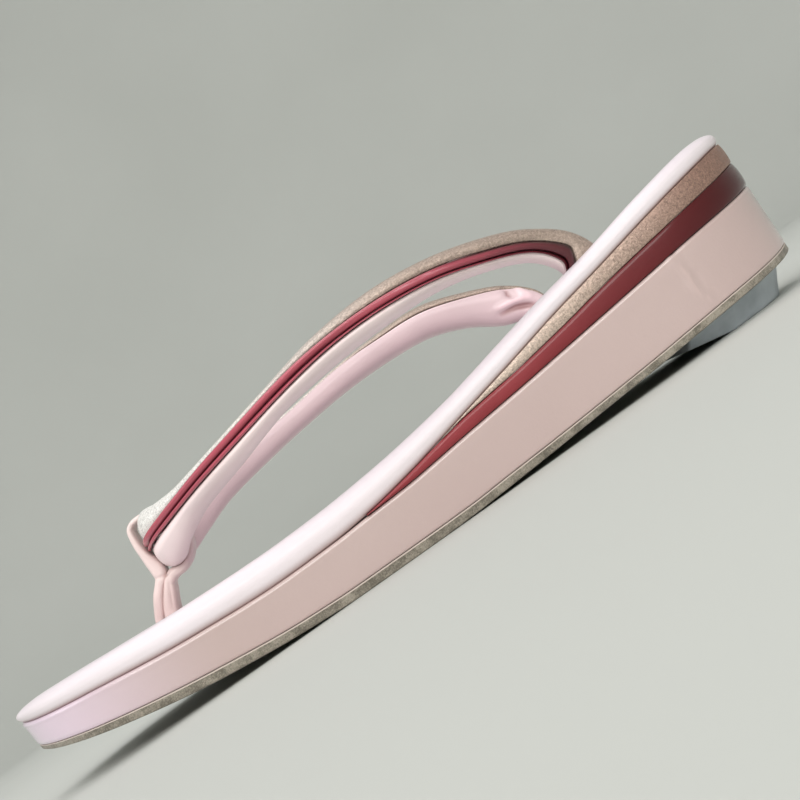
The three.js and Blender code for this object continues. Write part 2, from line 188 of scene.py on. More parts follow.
def halfWidthAt(fromToe):
    def endFactor(fromEnd, reach):  # 0 at the end and 1 from the reach inwards
        s = np.clip(1 - fromEnd / reach, 0, 1)
        return (1 - s ** sole["roundness"]) ** (1 / sole["roundness"])
    ends = endFactor(fromToe, sole["toeRound"]) * endFactor(length - fromToe, sole["heelRound"])
    return smoothAt(plan, "half", fromToe) * ends


# Node trees


class Wire:  # a socket whose maths is written with operators
    def __init__(self, graph, socket):
        self.graph = graph
        self.socket = socket

    def math(self, operation, *others):
        made = self.graph.tree.nodes.new("ShaderNodeMath")
        made.operation = operation
        for place, value in zip(made.inputs, (self, *others)):
            self.graph.plug(place, value)
        return Wire(self.graph, made.outputs[0])

    def other(self, name):  # another output of the same node
        return Wire(self.graph, self.socket.node.outputs[name])

    def __add__(self, other):
        return self.math("ADD", other)

    def __sub__(self, other):
        return self.math("SUBTRACT", other)

    def __rsub__(self, other):
        return (self * -1).math("ADD", other)

    def __mul__(self, other):
        return self.math("MULTIPLY", other)

    def __truediv__(self, other):
        return self.math("DIVIDE", other)

    def __rtruediv__(self, other):
        return self.math("POWER", -1).math("MULTIPLY", other)

    def __pow__(self, power):
        return self.math("POWER", power)

    def __gt__(self, other):
        return self.math("GREATER_THAN", other)

    __radd__ = __add__
    __rmul__ = __mul__


class Graph:  # a node tree, shader or geometry
    def __init__(self, tree):
        self.tree = tree

    def plug(self, place, value):
        if isinstance(value, Wire):
            self.tree.links.new(value.socket, place)
        else:
            place.default_value = value

    def node(self, kind, settings=None, inputs=None, output=0):
        made = self.tree.nodes.new(kind)
        for key, value in (settings or {}).items():
            setattr(made, key, value)
        for key, value in (inputs or {}).items():
            self.plug(made.inputs[key], value)
        return Wire(self, made.outputs[output]) if made.outputs else made

    def attribute(self, name):
        return self.node("ShaderNodeAttribute", {"attribute_name": name}, {}, "Fac")

    def mix(self, factor, first, second, blend="MIX"):  # two colours
        colours = [c if isinstance(c, Wire) else (*c, 1) for c in (first, second)]
        inputs = {0: factor, 6: colours[0], 7: colours[1]}
        return self.node("ShaderNodeMix", {"data_type": "RGBA", "blend_type": blend}, inputs, 2)

    def noise(self, vector, scale, detail=3.0, roughness=0.5):
        inputs = {"Vector": vector, "Scale": scale, "Detail": detail, "Roughness": roughness}
        return self.node("ShaderNodeTexNoise", {}, inputs, "Fac")

    def spread(self, value, low, high, toLow=0.0, toHigh=1.0):  # map a range, clamped
        inputs = {"Value": value, "From Min": low, "From Max": high, "To Min": toLow,
                  "To Max": toHigh}
        return self.node("ShaderNodeMapRange", {"interpolation_type": "SMOOTHSTEP"}, inputs)

    def scale(self, colour, amount):  # a colour made darker or lighter
        inputs = {0: colour, "Scale": amount}
        return self.node("ShaderNodeVectorMath", {"operation": "SCALE"}, inputs)

    def bump(self, height, distance, strength=1.0, under=None):
        inputs = {"Height": height, "Distance": distance, "Strength": strength}
        if under:
            inputs["Normal"] = under
        return self.node("ShaderNodeBump", {}, inputs)


def newMaterial(name, varying, **fixed):
    # varying(graph, coords) gives the sockets that change over the surface
    material = bpy.data.materials.new(name)
    material.use_nodes = True
    graph = Graph(material.node_tree)
    shader = material.node_tree.nodes["Principled BSDF"]
    for key, value in fixed.items():
        shader.inputs[key.replace("_", " ")].default_value = value
    coords = graph.node("ShaderNodeTexCoord", output="Object")
    for key, value in varying(graph, coords).items():
        graph.plug(shader.inputs[key], value)
    return material


# Finishes

enamelFinish = {
    "pink": (0.505, 0.383, 0.364),
    "blush": (0.545, 0.422, 0.40),  # clouds in the pink
    "toeReflectionLilac": (0.76, 0.62, 0.74),  # painted reflection of cool light: the lilac tint towards the toe
    "lilacFrom": 0.055,  # metres in front of the middle
    "lilacTo": 0.12,
    "cloudScale": 14,  # features to a metre, here and below
    "peelScale": 900,
    "orangePeel": 0.00004,
    "waveScale": 28,
    "waviness": 0.0005,
    "paintedGlint": 1.1,  # painted highlight along the ridge of the join
}


def pinkEnamel(graph, coords):
    along = graph.node("ShaderNodeSeparateXYZ", {}, {0: coords})
    # painted reflection: the enamel turns lilac towards the toe
    toToeReflection = graph.spread(along, enamelFinish["lilacFrom"], enamelFinish["lilacTo"])
    cloud = graph.spread(graph.noise(coords, enamelFinish["cloudScale"], 2), 0.35, 0.7, 0, 0.5)
    shade = graph.mix(cloud, enamelFinish["pink"], enamelFinish["blush"])
    shade = graph.mix(toToeReflection, shade, enamelFinish["toeReflectionLilac"])
    peel = graph.noise(coords, enamelFinish["peelScale"], 2)
    wave = graph.noise(coords, enamelFinish["waveScale"], 1)
    normal = graph.bump(peel, enamelFinish["orangePeel"])
    normal = graph.bump(wave, enamelFinish["waviness"], 1, normal)
    # painted highlight: lighter colour along the ridge of the join
    ridgeHighlight = graph.spread(graph.attribute("crease"), -0.4, -0.05, enamelFinish["paintedGlint"], 1)
    shade = graph.scale(shade, ridgeHighlight)
    return {"Base Color": shade, "Normal": normal}


# Painted shade and light: the red is painted deep at the back of each piece and lit from its middle
# forwards
wedgeRed = {"paintedDeepShade": (0.045, 0.001, 0.002), "paintedLit": (0.27, 0.036, 0.044), "paintedDeepShadeAt": -0.12,
            "paintedLitAt": -0.015, "edge": 1}
cordRed = {"paintedDeepShade": (0.03, 0.001, 0.002), "paintedLit": (0.44, 0.075, 0.11), "paintedDeepShadeAt": -0.074,
           "paintedLitAt": -0.02, "edge": 0.25}  # the edge is painted shade along a cord's two sides
redGrain = {"cloudScale": 60, "fleckScale": 5000, "fleck": 0.00002}


def redEnamel(finish):
    def varying(graph, coords):
        along = graph.node("ShaderNodeSeparateXYZ", {}, {0: coords})
        cloud = graph.noise(coords, redGrain["cloudScale"], 2)
        # painted shade and light: darker towards the back, lighter towards the front
        paintedLightToFront = graph.spread(along, finish["paintedDeepShadeAt"], finish["paintedLitAt"])
        shade = graph.mix(paintedLightToFront * (cloud * 0.5 + 0.75), finish["paintedDeepShade"], finish["paintedLit"])
        # painted shade along the two sides of a cord
        side = graph.attribute("across").math("ABSOLUTE")
        shade = graph.scale(shade, graph.spread(side, 0.5, 1, 1, finish["edge"]))
        fleck = graph.noise(coords, redGrain["fleckScale"], 1)
        return {"Base Color": shade, "Normal": graph.bump(fleck, redGrain["fleck"])}
    return varying


# Painted shade and light: the pearl coat is painted warm and dark at the back and pale towards the
# front of each piece
wedgeCoat = {"back": (0.30, 0.175, 0.135), "front": (0.54, 0.44, 0.37), "shadedBackAt": -0.118,
             "litFrontAt": -0.028, "contrast": 0.42}
strapCoat = {"back": (0.39, 0.305, 0.255), "front": (0.88, 0.86, 0.83), "shadedBackAt": -0.03,
             "litFrontAt": 0.062, "contrast": 0.36}
turnedEdgeHighlight = {"from": -0.92, "light": 1.45}  # painted highlight: the strap's pearl panel is painted pale where it turns in
flakes = {"scale": 3200, "share": 0.45, "fineScale": 1500, "fineShare": 0.55, "depth": 0.00012,
          "strength": 0.8, "smooth": 0.3, "rougher": 0.25}


def metallicBeige(coat):
    def varying(graph, coords):
        along = graph.node("ShaderNodeSeparateXYZ", {}, {0: coords})
        inputs = {"Vector": coords, "Scale": flakes["scale"]}
        flake = graph.node("ShaderNodeTexVoronoi", {}, inputs, "Color")
        level = graph.node("ShaderNodeSeparateColor", {}, {0: flake})
        fine = graph.spread(graph.noise(coords, flakes["fineScale"], 3, 0.7), 0.3, 0.7)
        mixed = level * flakes["share"] + fine * flakes["fineShare"]
        # painted shade and light: darker towards the back, paler towards the front
        paintedLightToFront = graph.spread(along, coat["shadedBackAt"], coat["litFrontAt"])
        shade = graph.mix(paintedLightToFront, coat["back"], coat["front"])
        dark, light = 1 - coat["contrast"], 1 + coat["contrast"]
        speckle = graph.mix(mixed, (dark,) * 3, (light,) * 3)
        shade = graph.mix(1.0, shade, speckle, "MULTIPLY")
        # painted highlight along the edge where the panel turns in
        side = graph.attribute("across")
        turnedHighlight = graph.spread(side, -1, turnedEdgeHighlight["from"], turnedEdgeHighlight["light"], 1)
        shade = graph.scale(shade, turnedHighlight)
        normal = graph.bump(mixed, flakes["depth"], flakes["strength"])
        rough = level.other("Green") * flakes["rougher"] + flakes["smooth"]
        return {"Base Color": shade, "Roughness": rough, "Normal": normal}
    return varying


def leatherSurface(graph, coords, finish, shade):
    # A colour with fine grain over it, as the cover, the lining and the toe loop have
    grain = finish["grain"]
    inputs = {"Vector": coords, "Scale": grain}
    cells = graph.node("ShaderNodeTexVoronoi", {"feature": "SMOOTH_F1"}, inputs, "Distance")
    grains = cells * 0.6 + graph.noise(coords, grain * 1.7, 4, 0.6) * 0.4
    rough = graph.spread(grains, 0.2, 0.7, finish["smooth"], finish["rough"])
    normal = graph.bump(grains, finish["relief"], 0.7)
    return {"Base Color": shade, "Roughness": rough, "Normal": normal}


coverFinish = {
    "pale": (0.82, 0.75, 0.79),
    "shaded": (0.78, 0.705, 0.735),  # clouds
    # painted shade: the top is darker than the side wall
    "top": (0.72, 0.655, 0.695),
    "low": (0.36, 0.235, 0.225),  # painted shade where the cover is drawn in under the cushion
    "cloudScale": 22,
    "grain": 1900,
    "relief": 0.00004,
    "smooth": 0.34,
    "rough": 0.46,
}


def coverLeather(graph, coords):
    cloud = graph.spread(graph.noise(coords, coverFinish["cloudScale"], 3), 0.3, 0.75)
    shade = graph.mix(cloud, coverFinish["pale"], coverFinish["shaded"])
    # the rim attribute paints shade: under the rolled edge where it is positive, on the top where
    # it is negative
    rim = graph.attribute("rim")
    # painted shade under the rolled edge
    shade = graph.mix(rim.math("MAXIMUM", 0.0), shade, coverFinish["low"])
    # painted shade on the top
    shade = graph.mix(rim.math("MINIMUM", 0.0) * -1, shade, coverFinish["top"])
    return leatherSurface(graph, coords, coverFinish, shade)


liningFinish = {
    "outer": (0.80, 0.675, 0.675),  # under the red cord; lighter than the inner side, which carries painted shade
    "inner": (0.66, 0.50, 0.525),  # the side that lies on the foot, darker with painted shade
    "shadedInnerTo": 235,  # degrees round the strap's section
    "unshadedOuterFrom": 300,
    "edge": 1.3,  # painted highlight where it turns over at its two edges
    # painted shade in the troughs of the folds
    "crease": (0.36, 0.20, 0.20),
    "ridgeHighlight": 1.3,  # painted highlight along the ridge of a fold
    "cloudScale": 30,
    "grain": 1900,
    "relief": 0.00004,
    "smooth": 0.34,
    "rough": 0.46,
}


def strapLining(graph, coords):
    degrees = graph.attribute("degrees")
    toUnshadedOuter = graph.spread(degrees, liningFinish["shadedInnerTo"], liningFinish["unshadedOuterFrom"])
    cloud = graph.noise(coords, liningFinish["cloudScale"], 3)
    cloud = graph.spread(cloud, 0.3, 0.75, 0.9, 1.06)
    # painted shade on the inner side of the strap
    shade = graph.mix(toUnshadedOuter, liningFinish["inner"], liningFinish["outer"])
    side = graph.attribute("across").math("ABSOLUTE")
    # painted highlight along the two edges
    edge = graph.spread(side, 0.84, 0.95, 1, liningFinish["edge"])
    shade = graph.scale(shade, cloud * edge)
    crease = graph.attribute("crease")
    # painted shade in the troughs of folds, painted highlight along their ridges
    shade = graph.mix(graph.spread(crease, 0.05, 0.8, 0, 0.85), shade, liningFinish["crease"])
    shade = graph.scale(shade, graph.spread(crease, -0.6, -0.1, liningFinish["ridgeHighlight"], 1))
    return leatherSurface(graph, coords, liningFinish, shade)


loopFinish = {
    # painted shade: the stem is darker than the band
    "stem": (0.64, 0.49, 0.475),
    "band": (0.78, 0.645, 0.62),
    "shadedRear": (0.60, 0.46, 0.47),  # painted shade behind the straps
    "stemTo": 0.024,  # metres above the floor
    "bandFrom": 0.036,
    "shadedRearSpan": (0.48, 0.54, 0.7, 0.76),  # shares of the band where the painted shade of the rear fades in and out
    "grain": 1700,
    "relief": 0.00006,
    "smooth": 0.36,
    "rough": 0.48,
}


def loopLeather(graph, coords):
    height = graph.node("ShaderNodeSeparateXYZ", {}, {0: coords}, "Z")
    # painted light and shade: the band is lighter than the stem below it
    toBand = graph.spread(height, loopFinish["stemTo"], loopFinish["bandFrom"])
    shade = graph.mix(toBand, loopFinish["stem"], loopFinish["band"])
    along = graph.attribute("along")
    span = loopFinish["shadedRearSpan"]
    # painted shade on the part of the band behind the straps
    behind = graph.spread(along, span[0], span[1]) * graph.spread(along, span[2], span[3], 1, 0)
    shade = graph.mix(behind, shade, loopFinish["shadedRear"])
    return leatherSurface(graph, coords, loopFinish, shade)


suedeFinish = {
    "dark": (0.13, 0.115, 0.09),
    "light": (0.34, 0.305, 0.25),
    "edge": (0.56, 0.48, 0.43),
    "mottleScale": 240,
    "napScale": 2600,
    "nap": 0.00035,
}


def suede(graph, coords):
    mottle = graph.noise(coords, suedeFinish["mottleScale"], 4, 0.65)
    nap = graph.noise(coords, suedeFinish["napScale"], 3, 0.7)
    level = graph.spread(mottle * 0.55 + nap * 0.45, 0.38, 0.62)
    shade = graph.mix(level, suedeFinish["dark"], suedeFinish["light"])
    shade = graph.mix(graph.attribute("rim"), shade, suedeFinish["edge"])
    normal = graph.bump(nap * 0.7 + mottle * 0.3, suedeFinish["nap"], 0.9)
    return {"Base Color": shade, "Normal": normal}


rubberFinish = {
    "dark": (0.38, 0.42, 0.455),
    "light": (0.48, 0.525, 0.56),
    "mottleScale": 120,
    "gritScale": 3000,
    "grit": 0.00006,
}


def rubber(graph, coords):
    mottle = graph.spread(graph.noise(coords, rubberFinish["mottleScale"], 4), 0.35, 0.65)
    shade = graph.mix(mottle, rubberFinish["dark"], rubberFinish["light"])
    grit = graph.noise(coords, rubberFinish["gritScale"], 2)
    return {"Base Color": shade, "Normal": graph.bump(grit, rubberFinish["grit"])}


floorFinish = {"dark": (0.47, 0.485, 0.458), "light": (0.52, 0.535, 0.508), "cloudScale": 3}


def plainFloor(graph, coords):
    cloud = graph.noise(coords, floorFinish["cloudScale"], 2)
    return {"Base Color": graph.mix(cloud, floorFinish["dark"], floorFinish["light"])}


materials = {
    "enamel": newMaterial("pink_enamel", pinkEnamel, Roughness=0.32, Coat_Weight=1.0,
                          Coat_Roughness=0.12, Coat_IOR=1.5),
    "red": newMaterial("red_enamel", redEnamel(wedgeRed), Roughness=0.4, Specular_IOR_Level=0.15,
                       Coat_Weight=0.8, Coat_Roughness=0.08, Coat_IOR=1.3),
    "cord": newMaterial("red_enamel_cord", redEnamel(cordRed), Roughness=0.4,
                        Specular_IOR_Level=0.15, Coat_Weight=1.0, Coat_Roughness=0.07,
                        Coat_IOR=1.45),
    "metallic": newMaterial("metallic_beige", metallicBeige(wedgeCoat), Metallic=0.45),
    "strapMetallic": newMaterial("strap_pearl_beige", metallicBeige(strapCoat), Metallic=0.4),
    "cover": newMaterial("cover_leather", coverLeather, Coat_Weight=0.15, Coat_Roughness=0.3),
    "lining": newMaterial("strap_lining", strapLining, Coat_Weight=0.2, Coat_Roughness=0.25),
    "loop": newMaterial("toe_loop_leather", loopLeather, Coat_Weight=0.1, Coat_Roughness=0.3),
    "suede": newMaterial("outsole_suede", suede, Roughness=0.9, Sheen_Weight=0.15),
    "rubber": newMaterial("heel_rubber", rubber, Roughness=0.5),
    "floor": newMaterial("floor_paint", plainFloor, Roughness=0.7),
}
print("finishes made")

# The layers of the sole


def outline(startAt):
    # Points down the left side and back up the right, each with its inward direction
    endSteps, middleSteps = sole["endSteps"], sole["middleSteps"]
    toe = sole["toeRound"] * (1 - np.cos(np.arange(endSteps) / endSteps * np.pi / 2))
    heelTurn = np.arange(endSteps + 1) / endSteps * np.pi / 2
    heel = length - sole["heelRound"] * (1 - np.sin(heelTurn))
    middle = np.linspace(toe[-1], heel[0], middleSteps + 2)[1:-1]
    places = np.concatenate([toe, middle, heel])
    if startAt > 0:
        places = np.concatenate([[startAt], places[places > startAt + 0.5]])
    step = 0.01  # millimetres each way, to find the direction of the edge
    before, after = np.maximum(places - step, 0), np.minimum(places + step, length)
    along = np.stack([after - before, halfWidthAt(after) - halfWidthAt(before)], 1)
    along /= np.linalg.norm(along, axis=1)[:, None]
    inward = np.stack([along[:, 1], -along[:, 0]], 1)
    inward[places <= 0] = (1, 0)
    inward[places >= length] = (-1, 0)
    left = np.stack([places, halfWidthAt(places)], 1)
    back = slice(-2, None if startAt > 0 else 0, -1)  # points on the middle line come once
    mirror = np.array([1, -1])
    right, rightInward = left[back] * mirror, inward[back] * mirror
    return np.concatenate([left, right]), np.concatenate([inward, rightInward])


def layerMesh(name, under, over, rings, startAt=0, crown=0.0):
    # rings: how far each is drawn in, its share of the height, a lift in millimetres and, in
    # some, the attribute "rim" from that ring upwards
    points, inward = outline(startAt)
    front = sole["frontSteps"] if startAt > 0 else 0
    endLimits = (startAt if startAt > 0 else sole["toeCap"], length - sole["heelCap"])

    def ringAt(inset, share, lift):
        flat = points + inward * inset
        if front:
            fade = np.linspace(0, 1, front + 2)[1:-1][:, None]
            flat = np.concatenate([flat, flat[-1] * (1 - fade) + flat[0] * fade])
        low, high = under(flat[:, 0]), over(flat[:, 0])
        scale = np.clip((high - low) / sole["thinBelow"], 0, 1)
        return np.column_stack([flat, low + (high - low) * share + lift * scale])

    def cap(edge, height, rise):
        middle = np.column_stack([np.clip(edge[:, 0], *endLimits), np.zeros(len(edge))])
        result = []
        for k in range(1, sole["capRings"] + 1):
            s = k / sole["capRings"]
            flat = edge[:, :2] * (1 - s) + middle * s
            lift = rise * (1 - (1 - s) ** 2)
            blend = edge[:, 2] - height(edge[:, 0])
            z = height(flat[:, 0]) + blend * (1 - s) ** 3 + lift
            result.append(np.column_stack([flat, z]))
        return result

    walls = [ringAt(*ring[:3]) for ring in rings]
    loops = cap(walls[0], under, 0.0)[::-1] + walls + cap(walls[-1], over, crown)
    verts = np.concatenate(loops)
    count = len(loops[0])
    wallFrom = sole["capRings"]
    rim = np.zeros(len(verts))
    for k, ring in enumerate(rings):
        if len(ring) > 3:
            rim[(wallFrom + k) * count:] = ring[3]
    verts = np.column_stack([length / 2 - verts[:, 0], verts[:, 1:]]) * mm
    a = np.arange(count)
    b = (a + 1) % count
    faces = [np.stack([k * count + a, k * count + b, (k + 1) * count + b, (k + 1) * count + a], 1)
             for k in range(len(loops) - 1)]
    return meshObject(name, verts, np.concatenate(faces).tolist(), {"rim": rim})


def meshObject(name, verts, faces, attributes=None):
    mesh = bpy.data.meshes.new(name)
    mesh.from_pydata(np.asarray(verts).tolist(), [], faces)
    for key, values in (attributes or {}).items():
        mesh.attributes.new(key, "FLOAT", "POINT").data.foreach_set("value", values)
    made = bpy.data.objects.new(name, mesh)
    bpy.context.scene.collection.objects.link(made)
    closeMesh(made)
    return made


weld = {"points": 0.00001, "slivers": 0.000005}  # metres


def closeMesh(piece):
    work = bmesh.new()
    work.from_mesh(piece.data)
    bmesh.ops.remove_doubles(work, verts=work.verts, dist=weld["points"])
    bmesh.ops.dissolve_degenerate(work, edges=work.edges, dist=weld["slivers"])
    bmesh.ops.holes_fill(work, edges=[e for e in work.edges if e.is_boundary], sides=0)
    bmesh.ops.recalc_face_normals(work, faces=work.faces)
    work.to_mesh(piece.data)
    work.free()
    piece.data.shade_smooth()


def roundEdge(radius, drop, share, sign, base=0.0, steps=6):
    # A quarter turn at the top (sign -1) or the bottom (sign 1) of a wall
    turns = np.linspace(0, np.pi / 2, steps)
    rows = [(base + radius * (1 - np.cos(t)), share, sign * drop * (1 - np.sin(t))) for t in turns]
    return rows if sign < 0 else rows[::-1]


def dress(piece, material, slot, *nodes):
    piece.data.materials.clear()
    piece.data.materials.append(materials[material])
    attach(piece, "root")
    if nodes:
        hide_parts(*nodes)


foldReach = 2.5  # the more, the nearer to the turn of the surface a fold runs out


def foldPiece(piece, folds):
    # Troughs and ridges laid along given lines of (from the toe, up), on faces towards +Y
    mesh = piece.data
    places = np.zeros(len(mesh.vertices) * 3)
    normals = np.zeros(len(mesh.vertices) * 3)
    mesh.vertices.foreach_get("co", places)
    mesh.vertices.foreach_get("normal", normals)
    places, normals = places.reshape(-1, 3), normals.reshape(-1, 3)
    at = np.column_stack([length / 2 - places[:, 0] / mm, places[:, 2] / mm])
    lift = np.zeros(len(at))
    for fold in folds:
        line = np.array(fold["line"], float)
        nearest = np.full(len(at), np.inf)
        share = np.zeros(len(at))
        for k, (a, b) in enumerate(zip(line[:-1], line[1:])):
            t = np.clip((at - a) @ (b - a) / ((b - a) @ (b - a)), 0, 1)
            away = np.linalg.norm(at - a - t[:, None] * (b - a), axis=1)
            share = np.where(away < nearest, (k + t) / (len(line) - 1), share)
            nearest = np.minimum(away, nearest)
        fade = fold["ends"] + (1 - fold["ends"]) * np.sin(np.pi * share)
        onSide = np.clip(normals[:, 1] * foldReach, 0, 1) * (places[:, 1] * fold["side"] > 0)
        lift += fold["depth"] * fade * onSide * np.exp(-((nearest / fold["wide"]) ** 2))
    places = places + normals * lift[:, None] * mm
    mesh.vertices.foreach_set("co", places.ravel())
    mesh.attributes.new("crease", "FLOAT", "POINT").data.foreach_set("value", -lift)
    mesh.update()


gap = sole["gap"]

outsoleSizes = {
    "inset": 1.6,
    "round": 0.5,
    "lightEdge": 0.15,  # as a share of the thickness
    "corner": [(0.8, 0), (0.1, 0.05), (0, 0.2)],  # share of the light edge, and how far in
}


def makeOutsole():
    inset, light = outsoleSizes["inset"], outsoleSizes["lightEdge"]
    rings = [
        *roundEdge(outsoleSizes["round"], outsoleSizes["round"], 0, 1, inset),
        (inset, 0.5, 0),
        (inset, 1 - light, 0),
        *[(inset + drawnIn, 1 - light * left, 0, 1) for left, drawnIn in outsoleSizes["corner"]],
    ]
    piece = layerMesh("outsole_sheet", heightAt("base"), heightAt("sole"), rings)
    dress(piece, "suede", "outsole_suede", "outsole")


rubberSizes = {
    "inset": 6.5,
    "bevel": 4,
    "edge": table("bevelled drawnIn share", [  # share of the bevel, and of the height
        (1, 0, 0), (1, -0.35, 0.03), (1, -0.6, 0.1), (0.5, 0, 0.48), (0, 0.4, 0.84),
        (0, 0.1, 0.9), (0, 0, 1),
    ]),
}


def makeHeelRubber():
    edge = rubberSizes["edge"]
    under = lambda t: np.maximum(0, (sole["rubberFlatFrom"] - t) * sole["rubberChamfer"])
    over = lambda t: heightAt("base")(t) - gap
    insets = rubberSizes["inset"] + rubberSizes["bevel"] * edge["bevelled"] + edge["drawnIn"]
    rings = [(inset, share, 0) for inset, share in zip(insets, edge["share"])]
    piece = layerMesh("heel_rubber_block", under, over, rings, sole["rubberFrom"])
    dress(piece, "rubber", "heel_rubber", "heel_rubber")


bodySizes = {
    "base": 1.4,  # how far the wall is drawn in at its foot and at its top
    "top": 0.7,
    "wallFrom": 0.08,  # shares of the height; the wall ends below the round of the lip
    "wallTo": 0.8,
    "wallRings": 14,
    "lip": 0.9,
    "lipDrop": 1.1,
    "lipSteps": 9,
    "foot": 0.5,
}
wrapCreases = [  # the cover's join beside the heel
    {"side": 1, "wide": 0.8, "depth": -0.6, "ends": 0.5, "line": [
        (204.6, 24.3), (205.4, 20.6), (206.3, 18.1), (205.3, 15.7), (206.2, 12.2), (207.8, 9)]},
    {"side": 1, "wide": 1.1, "depth": 0.5, "ends": 0.5, "line": [
        (203.6, 24.2), (204.3, 20.4), (205.2, 18), (204.2, 15.5), (205, 12.2), (206.6, 9)]},
]


def makeBody():
    base, top = bodySizes["base"], bodySizes["top"]
    wall = np.linspace(bodySizes["wallFrom"], bodySizes["wallTo"], bodySizes["wallRings"])
    rings = [
        *roundEdge(bodySizes["foot"], bodySizes["foot"], 0, 1, base),
        *[(base + (top - base) * share, share, 0) for share in wall],
        *roundEdge(bodySizes["lip"], bodySizes["lipDrop"], 1, -1, top, bodySizes["lipSteps"]),
    ]
    under = lambda t: heightAt("sole")(t) + gap
    piece = layerMesh("pink_enamel_body", under, heightAt("body"), rings)
    foldPiece(piece, wrapCreases)
    dress(piece, "enamel", "pink_enamel", "enamel_body")


wedgeSizes = {"base": 0.3, "steps": 16}
wedges = [  # each lies between two columns of the profile
    {"name": "red_enamel_wedge", "material": "red", "slot": "red_enamel", "node": "red_wedge",
     "lower": "body", "upper": "red", "from": sole["redFrom"], "bulge": 0.6},
    {"name": "metallic_beige_wedge", "material": "metallic", "slot": "metallic_beige",
     "node": "metallic_wedge", "lower": "red", "upper": "gold", "from": sole["goldFrom"],
     "bulge": 0.4},
]


def makeWedge(wedge):
    rings = []
    for turn in np.linspace(-np.pi / 2, np.pi / 2, wedgeSizes["steps"]):
        inset = wedgeSizes["base"] + wedge["bulge"] * (1 - np.cos(turn))
        rings.append((inset, 0.5 + 0.5 * np.sin(turn), 0))
    under = lambda t: heightAt(wedge["lower"])(t) + gap
    piece = layerMesh(wedge["name"], under, heightAt(wedge["upper"]), rings, wedge["from"])
    dress(piece, wedge["material"], wedge["slot"], wedge["node"])


coverSizes = {
    "crown": 0.2,
    "edge": table("part inset", [
        (0, 1.5), (0.05, 1.05), (0.14, 0.72), (0.28, 0.42), (0.42, 0.3),
        (0.56, 0.4), (0.68, 0.7), (0.8, 1.25), (0.9, 2.15), (0.97, 3.2), (1, 4.4),
    ]),
    "shadedTo": 0.26,  # share of the height where the shaded lower edge ends
    "shadedPower": 1.5,
    "topFrom": 0.4,  # shares between which the shade of the top sets in
    "topTo": 0.8,
    "shoulder": 0.85,  # the rings above this share lie closer together
    "sideRings": 22,
    "shoulderRings": 9,
}


def makeCover():
    shoulder, topFrom, topTo = (coverSizes[key] for key in ("shoulder", "topFrom", "topTo"))
    side = np.linspace(0, shoulder, coverSizes["sideRings"])[:-1]
    rings = []
    for part in [*side, *np.linspace(shoulder, 1, coverSizes["shoulderRings"])]:
        shaded = max(0, 1 - part / coverSizes["shadedTo"]) ** coverSizes["shadedPower"]
        onTop = min(1, max(0, (part - topFrom) / (topTo - topFrom)))
        inset = float(smoothAt(coverSizes["edge"], "inset", part, "part"))
        rings.append((inset, part, 0, shaded - onTop))
    under = lambda t: heightAt("gold")(t) + sole["softGap"]
    piece = layerMesh("padded_cover", under, heightAt("pad"), rings, 0, coverSizes["crown"])
    dress(piece, "cover", "footbed_leather", "padded_footbed")


makeOutsole()
makeHeelRubber()
makeBody()
for wedge in wedges:
    makeWedge(wedge)
makeCover()
print("sole layers made")

# Swept pieces


